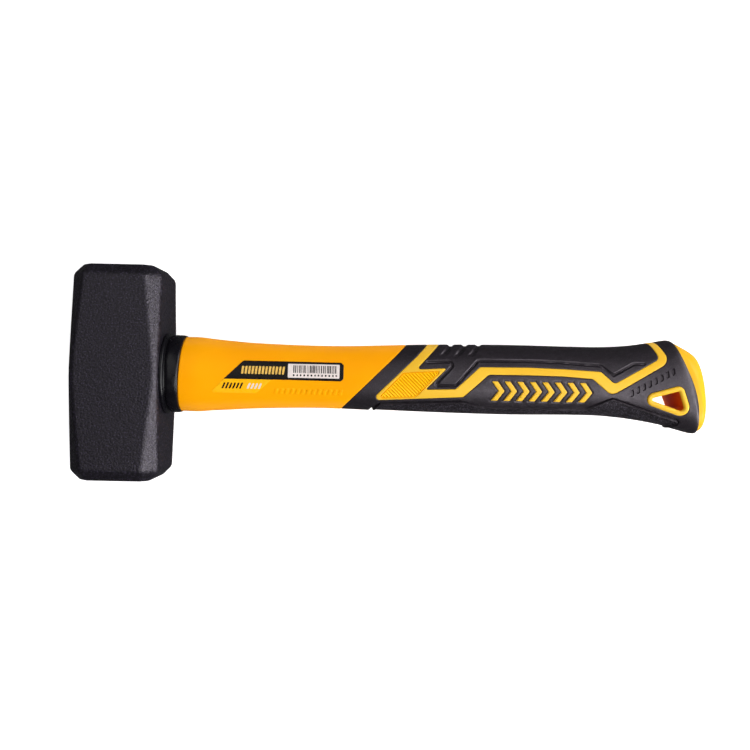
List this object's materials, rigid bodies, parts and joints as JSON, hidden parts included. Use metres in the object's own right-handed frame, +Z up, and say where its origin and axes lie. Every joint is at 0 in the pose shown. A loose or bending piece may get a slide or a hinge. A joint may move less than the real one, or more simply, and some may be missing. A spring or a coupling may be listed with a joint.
{
  "type": "club hammer",
  "caption": "Club hammer with a square bevelled steel head, a black collar and an overmoulded two-colour handle with a hanging hole, lying on its cheek.",
  "frame": {"origin": "on the rest plane, under the centre of the head, at the middle of the lower cheek", "axes": "+X along the handle from the head to the butt, +Y the striking axis, +Z up, out of the upper cheek"},
  "size_m": [0.2881, 0.097, 0.04],
  "materials": {
    "powder_coat": "fine speckled matt powder coat",
    "resin": "cast epoxy",
    "fibreglass": "pultruded",
    "black_gloss": "gloss moulded",
    "orange_plastic": "satin moulded",
    "black_rubber": "matt, fine grain",
    "yellow_plastic": "satin moulded",
    "label_print": "laminated print"
  },
  "bodies": {
    "root": {"hammer_head": "powder_coat", "eye_epoxy": "resin", "core_rod": "fibreglass", "collar": "black_gloss", "handle_jacket": "orange_plastic", "grip_body": "black_rubber", "grip_back_pad": "black_rubber", "accent_loop": "yellow_plastic", "hang_hole_liner": "yellow_plastic", "end_cap": "yellow_plastic", "product_label": "label_print", "side_marks_front": "yellow_plastic", "side_marks_back": "yellow_plastic"}
  },
  "joints": []
}
